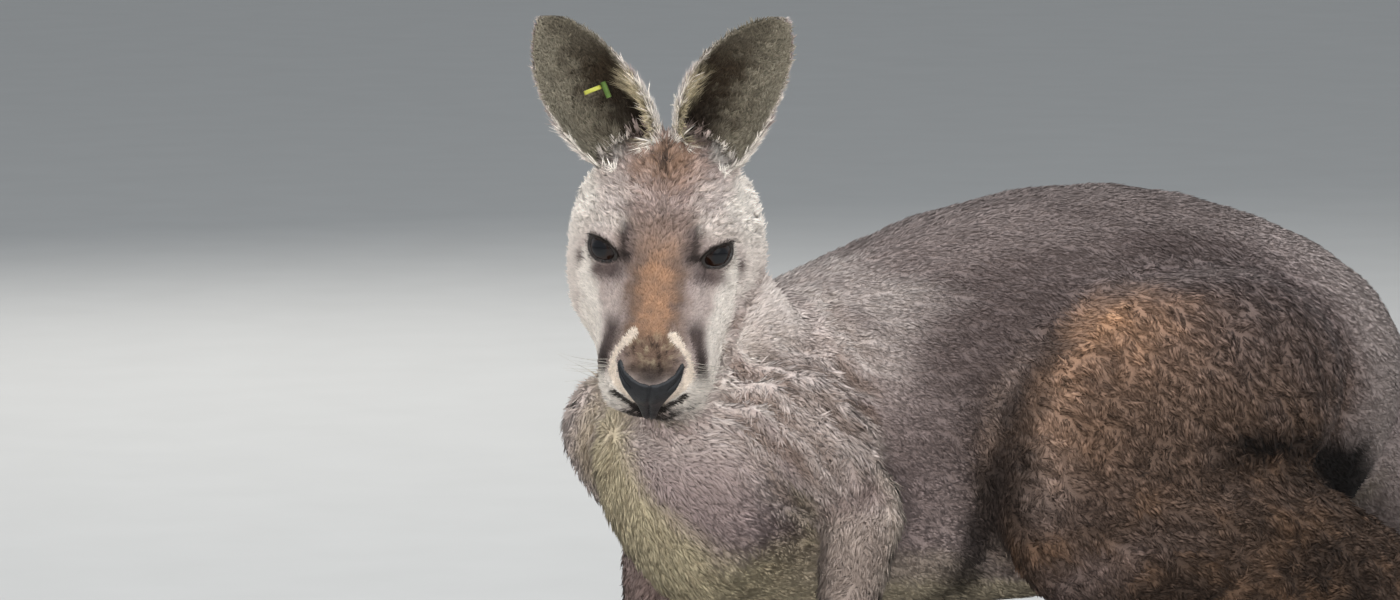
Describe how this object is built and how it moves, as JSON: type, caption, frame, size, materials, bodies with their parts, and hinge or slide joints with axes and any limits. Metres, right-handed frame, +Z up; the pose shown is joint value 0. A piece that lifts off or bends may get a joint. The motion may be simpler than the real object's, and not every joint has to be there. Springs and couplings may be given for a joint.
{
  "type": "kangaroo, still animal model",
  "caption": "Still life-size model of a female red kangaroo crouching on all fours, hind legs folded, tail laid on the ground behind, head turned to its left, a small tag in one ear.",
  "frame": {"origin": "on the ground, under the middle of the animal's bounding box", "axes": "+X towards the tail, so the animal faces -X; +Y to the animal's right; +Z up"},
  "size_m": [1.3546, 0.3246, 0.5159],
  "materials": {
    "body_coat": "dense woolly fur, mauve blue-grey",
    "face_coat": "short fur, grey with a rust bridge and white cheek stripes",
    "pale_coat": "soft cream fur",
    "rust_coat": "woolly fur, rust over grey-brown",
    "tail_coat": "short fur, pale grey",
    "foot_coat": "very short dark fur",
    "ear_coat": "thin short fur, dark inside with a pale rim",
    "nose_skin": "moist pebbled black skin",
    "eye": "wet, dark brown",
    "claw": "worn horn, near black",
    "tag_yellow": "bare yellow plastic",
    "tag_green": "bare green plastic"
  },
  "bodies": {
    "root": {"ear_left": "ear_coat", "ear_right": "ear_coat", "ear_tag": "tag_yellow", "ear_tag_stud": "tag_green", "eye_left": "eye", "eye_right": "eye", "foot_claw_fifth_left": "claw", "foot_claw_fifth_right": "claw", "foot_claw_fourth_left": "claw", "foot_claw_fourth_right": "claw", "foot_claw_second_left": "claw", "foot_claw_second_right": "claw", "foot_claw_third_left": "claw", "foot_claw_third_right": "claw", "foot_left": "foot_coat", "foot_right": "foot_coat", "forearm_left": "body_coat", "forearm_right": "body_coat", "hand_claw_1_left": "claw", "hand_claw_1_right": "claw", "hand_claw_2_left": "claw", "hand_claw_2_right": "claw", "hand_claw_3_left": "claw", "hand_claw_3_right": "claw", "hand_claw_4_left": "claw", "hand_claw_4_right": "claw", "hand_claw_5_left": "claw", "hand_claw_5_right": "claw", "hand_left": "foot_coat", "hand_right": "foot_coat", "head": "face_coat", "lower_jaw": "pale_coat", "neck": "body_coat", "nose": "nose_skin", "shank_left": "rust_coat", "shank_right": "rust_coat", "tail_base": "tail_coat", "tail_middle": "tail_coat", "tail_tip": "tail_coat", "thigh_left": "rust_coat", "thigh_right": "rust_coat", "trunk": "body_coat", "upper_arm_left": "body_coat", "upper_arm_right": "body_coat"}
  },
  "joints": []
}
